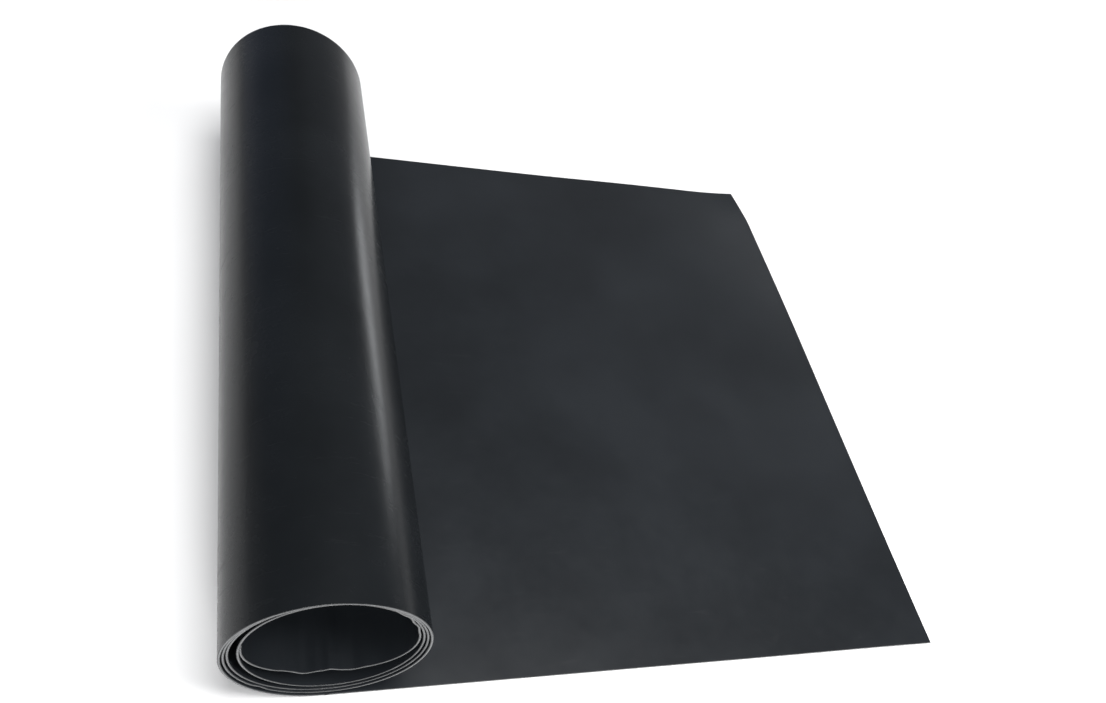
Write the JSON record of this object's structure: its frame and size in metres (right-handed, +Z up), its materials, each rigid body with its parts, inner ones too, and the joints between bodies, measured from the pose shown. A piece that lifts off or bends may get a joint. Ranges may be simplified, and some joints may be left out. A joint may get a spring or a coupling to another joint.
{
  "type": "seedling heat mat",
  "caption": "Thin black flexible heat mat, one end wound into a loose hollow roll and the other lying flat; it can be rolled up the rest of the way.",
  "frame": {"origin": "middle of the footprint, on the floor the mat lies on", "axes": "+X across the flat part to its free edge, +Y along the roll's axis away from the near end, +Z up"},
  "size_m": [0.497, 0.508, 0.114],
  "materials": {
    "bottom_cover": "satin black flexible sheet",
    "top_cover": "satin black flexible sheet",
    "heating_film": "clear amber film with printed carbon and copper strips",
    "inlet_moulding": "fine grained moulding",
    "seal_rubber": "matt",
    "terminal_brass": "satin",
    "cutout_body": "smooth",
    "screw_steel": "satin"
  },
  "bodies": {
    "free_end": {"bottom_cover_free_end": "bottom_cover", "heating_film_free_end": "heating_film", "top_cover_free_end": "top_cover"},
    "strip_01": {"bottom_cover_strip_01": "bottom_cover", "heating_film_strip_01": "heating_film", "top_cover_strip_01": "top_cover"},
    "strip_02": {"bottom_cover_strip_02": "bottom_cover", "heating_film_strip_02": "heating_film", "top_cover_strip_02": "top_cover"},
    "strip_03": {"bottom_cover_strip_03": "bottom_cover", "heating_film_strip_03": "heating_film", "top_cover_strip_03": "top_cover"},
    "strip_04": {"bottom_cover_strip_04": "bottom_cover", "heating_film_strip_04": "heating_film", "top_cover_strip_04": "top_cover"},
    "strip_05": {"bottom_cover_strip_05": "bottom_cover", "heating_film_strip_05": "heating_film", "top_cover_strip_05": "top_cover"},
    "strip_06": {"bottom_cover_strip_06": "bottom_cover", "heating_film_strip_06": "heating_film", "top_cover_strip_06": "top_cover"},
    "strip_07": {"bottom_cover_strip_07": "bottom_cover", "heating_film_strip_07": "heating_film", "top_cover_strip_07": "top_cover"},
    "strip_08": {"bottom_cover_strip_08": "bottom_cover", "heating_film_strip_08": "heating_film", "top_cover_strip_08": "top_cover"},
    "strip_09": {"bottom_cover_strip_09": "bottom_cover", "heating_film_strip_09": "heating_film", "top_cover_strip_09": "top_cover"},
    "strip_10": {"bottom_cover_strip_10": "bottom_cover", "heating_film_strip_10": "heating_film", "top_cover_strip_10": "top_cover"},
    "strip_11": {"bottom_cover_strip_11": "bottom_cover", "heating_film_strip_11": "heating_film", "top_cover_strip_11": "top_cover"},
    "roll": {"bottom_cover_roll": "bottom_cover", "heating_film_roll": "heating_film", "top_cover_roll": "top_cover", "inlet_base": "inlet_moulding", "inlet_seal": "seal_rubber", "inlet_cover": "inlet_moulding", "lead_bush": "seal_rubber", "live_terminal": "terminal_brass", "neutral_terminal": "terminal_brass", "thermal_cutout": "cutout_body", "inlet_screw_1": "screw_steel", "inlet_screw_2": "screw_steel", "inlet_screw_3": "screw_steel", "inlet_screw_4": "screw_steel"}
  },
  "joints": [
    {"name": "bend_01", "type": "hinge", "parent": "free_end", "child": "strip_01", "pos_m": [0.1667, 0, 0.0014], "axis": [0, 1, 0], "range_deg": [0, 30]},
    {"name": "bend_02", "type": "hinge", "parent": "strip_01", "child": "strip_02", "pos_m": [0.13467, 0, 0.0014], "axis": [0, 1, 0], "range_deg": [0, 30]},
    {"name": "bend_03", "type": "hinge", "parent": "strip_02", "child": "strip_03", "pos_m": [0.10282, 0, 0.0014], "axis": [0, 1, 0], "range_deg": [0, 30]},
    {"name": "bend_04", "type": "hinge", "parent": "strip_03", "child": "strip_04", "pos_m": [0.07115, 0, 0.0014], "axis": [0, 1, 0], "range_deg": [0, 30]},
    {"name": "bend_05", "type": "hinge", "parent": "strip_04", "child": "strip_05", "pos_m": [0.03966, 0, 0.0014], "axis": [0, 1, 0], "range_deg": [0, 30]},
    {"name": "bend_06", "type": "hinge", "parent": "strip_05", "child": "strip_06", "pos_m": [0.00835, 0, 0.0014], "axis": [0, 1, 0], "range_deg": [0, 30]},
    {"name": "bend_07", "type": "hinge", "parent": "strip_06", "child": "strip_07", "pos_m": [-0.02279, 0, 0.0014], "axis": [0, 1, 0], "range_deg": [0, 30]},
    {"name": "bend_08", "type": "hinge", "parent": "strip_07", "child": "strip_08", "pos_m": [-0.05375, 0, 0.0014], "axis": [0, 1, 0], "range_deg": [0, 30]},
    {"name": "bend_09", "type": "hinge", "parent": "strip_08", "child": "strip_09", "pos_m": [-0.08453, 0, 0.0014], "axis": [0, 1, 0], "range_deg": [0, 30]},
    {"name": "bend_10", "type": "hinge", "parent": "strip_09", "child": "strip_10", "pos_m": [-0.11513, 0, 0.0014], "axis": [0, 1, 0], "range_deg": [0, 30]},
    {"name": "bend_11", "type": "hinge", "parent": "strip_10", "child": "strip_11", "pos_m": [-0.14555, 0, 0.0014], "axis": [0, 1, 0], "range_deg": [0, 30]},
    {"name": "bend_12", "type": "hinge", "parent": "strip_11", "child": "roll", "pos_m": [-0.17579, 0, 0.0014], "axis": [0, 1, 0], "range_deg": [0, 30]}
  ],
  "couplings": [
    {"joint": "bend_02", "follows": "bend_01", "ratio": 1},
    {"joint": "bend_03", "follows": "bend_01", "ratio": 1},
    {"joint": "bend_04", "follows": "bend_01", "ratio": 1},
    {"joint": "bend_05", "follows": "bend_01", "ratio": 1},
    {"joint": "bend_06", "follows": "bend_01", "ratio": 1},
    {"joint": "bend_07", "follows": "bend_01", "ratio": 1},
    {"joint": "bend_08", "follows": "bend_01", "ratio": 1},
    {"joint": "bend_09", "follows": "bend_01", "ratio": 1},
    {"joint": "bend_10", "follows": "bend_01", "ratio": 1},
    {"joint": "bend_11", "follows": "bend_01", "ratio": 1},
    {"joint": "bend_12", "follows": "bend_01", "ratio": 1}
  ]
}
